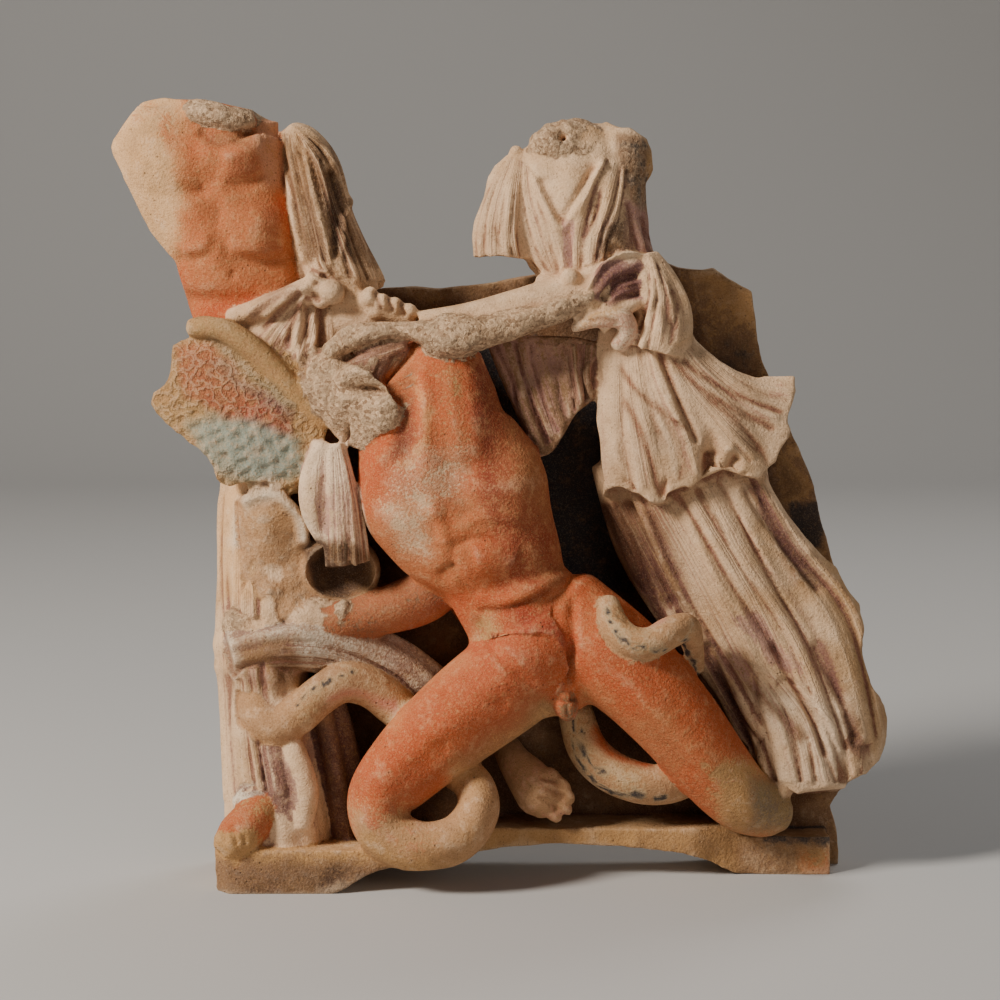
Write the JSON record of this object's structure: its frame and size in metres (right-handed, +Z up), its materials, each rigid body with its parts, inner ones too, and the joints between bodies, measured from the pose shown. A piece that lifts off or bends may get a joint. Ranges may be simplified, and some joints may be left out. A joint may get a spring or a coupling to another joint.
{
  "type": "architectural relief",
  "caption": "High relief in painted fired clay: a snake-legged winged giant struck down between two draped gods, on a thin background with an arched plinth.",
  "frame": {"origin": "middle of the outer box at the surface the plinth's two feet stand on", "axes": "+X to the right along the front, +Y into the wall behind, +Z up"},
  "size_m": [0.4926, 0.1124, 0.4995],
  "materials": {
    "terracotta": "matt fired clay with the remains of white slip and of orange, purple and blue paint"
  },
  "bodies": {
    "root": {"relief": "terracotta"}
  },
  "joints": []
}
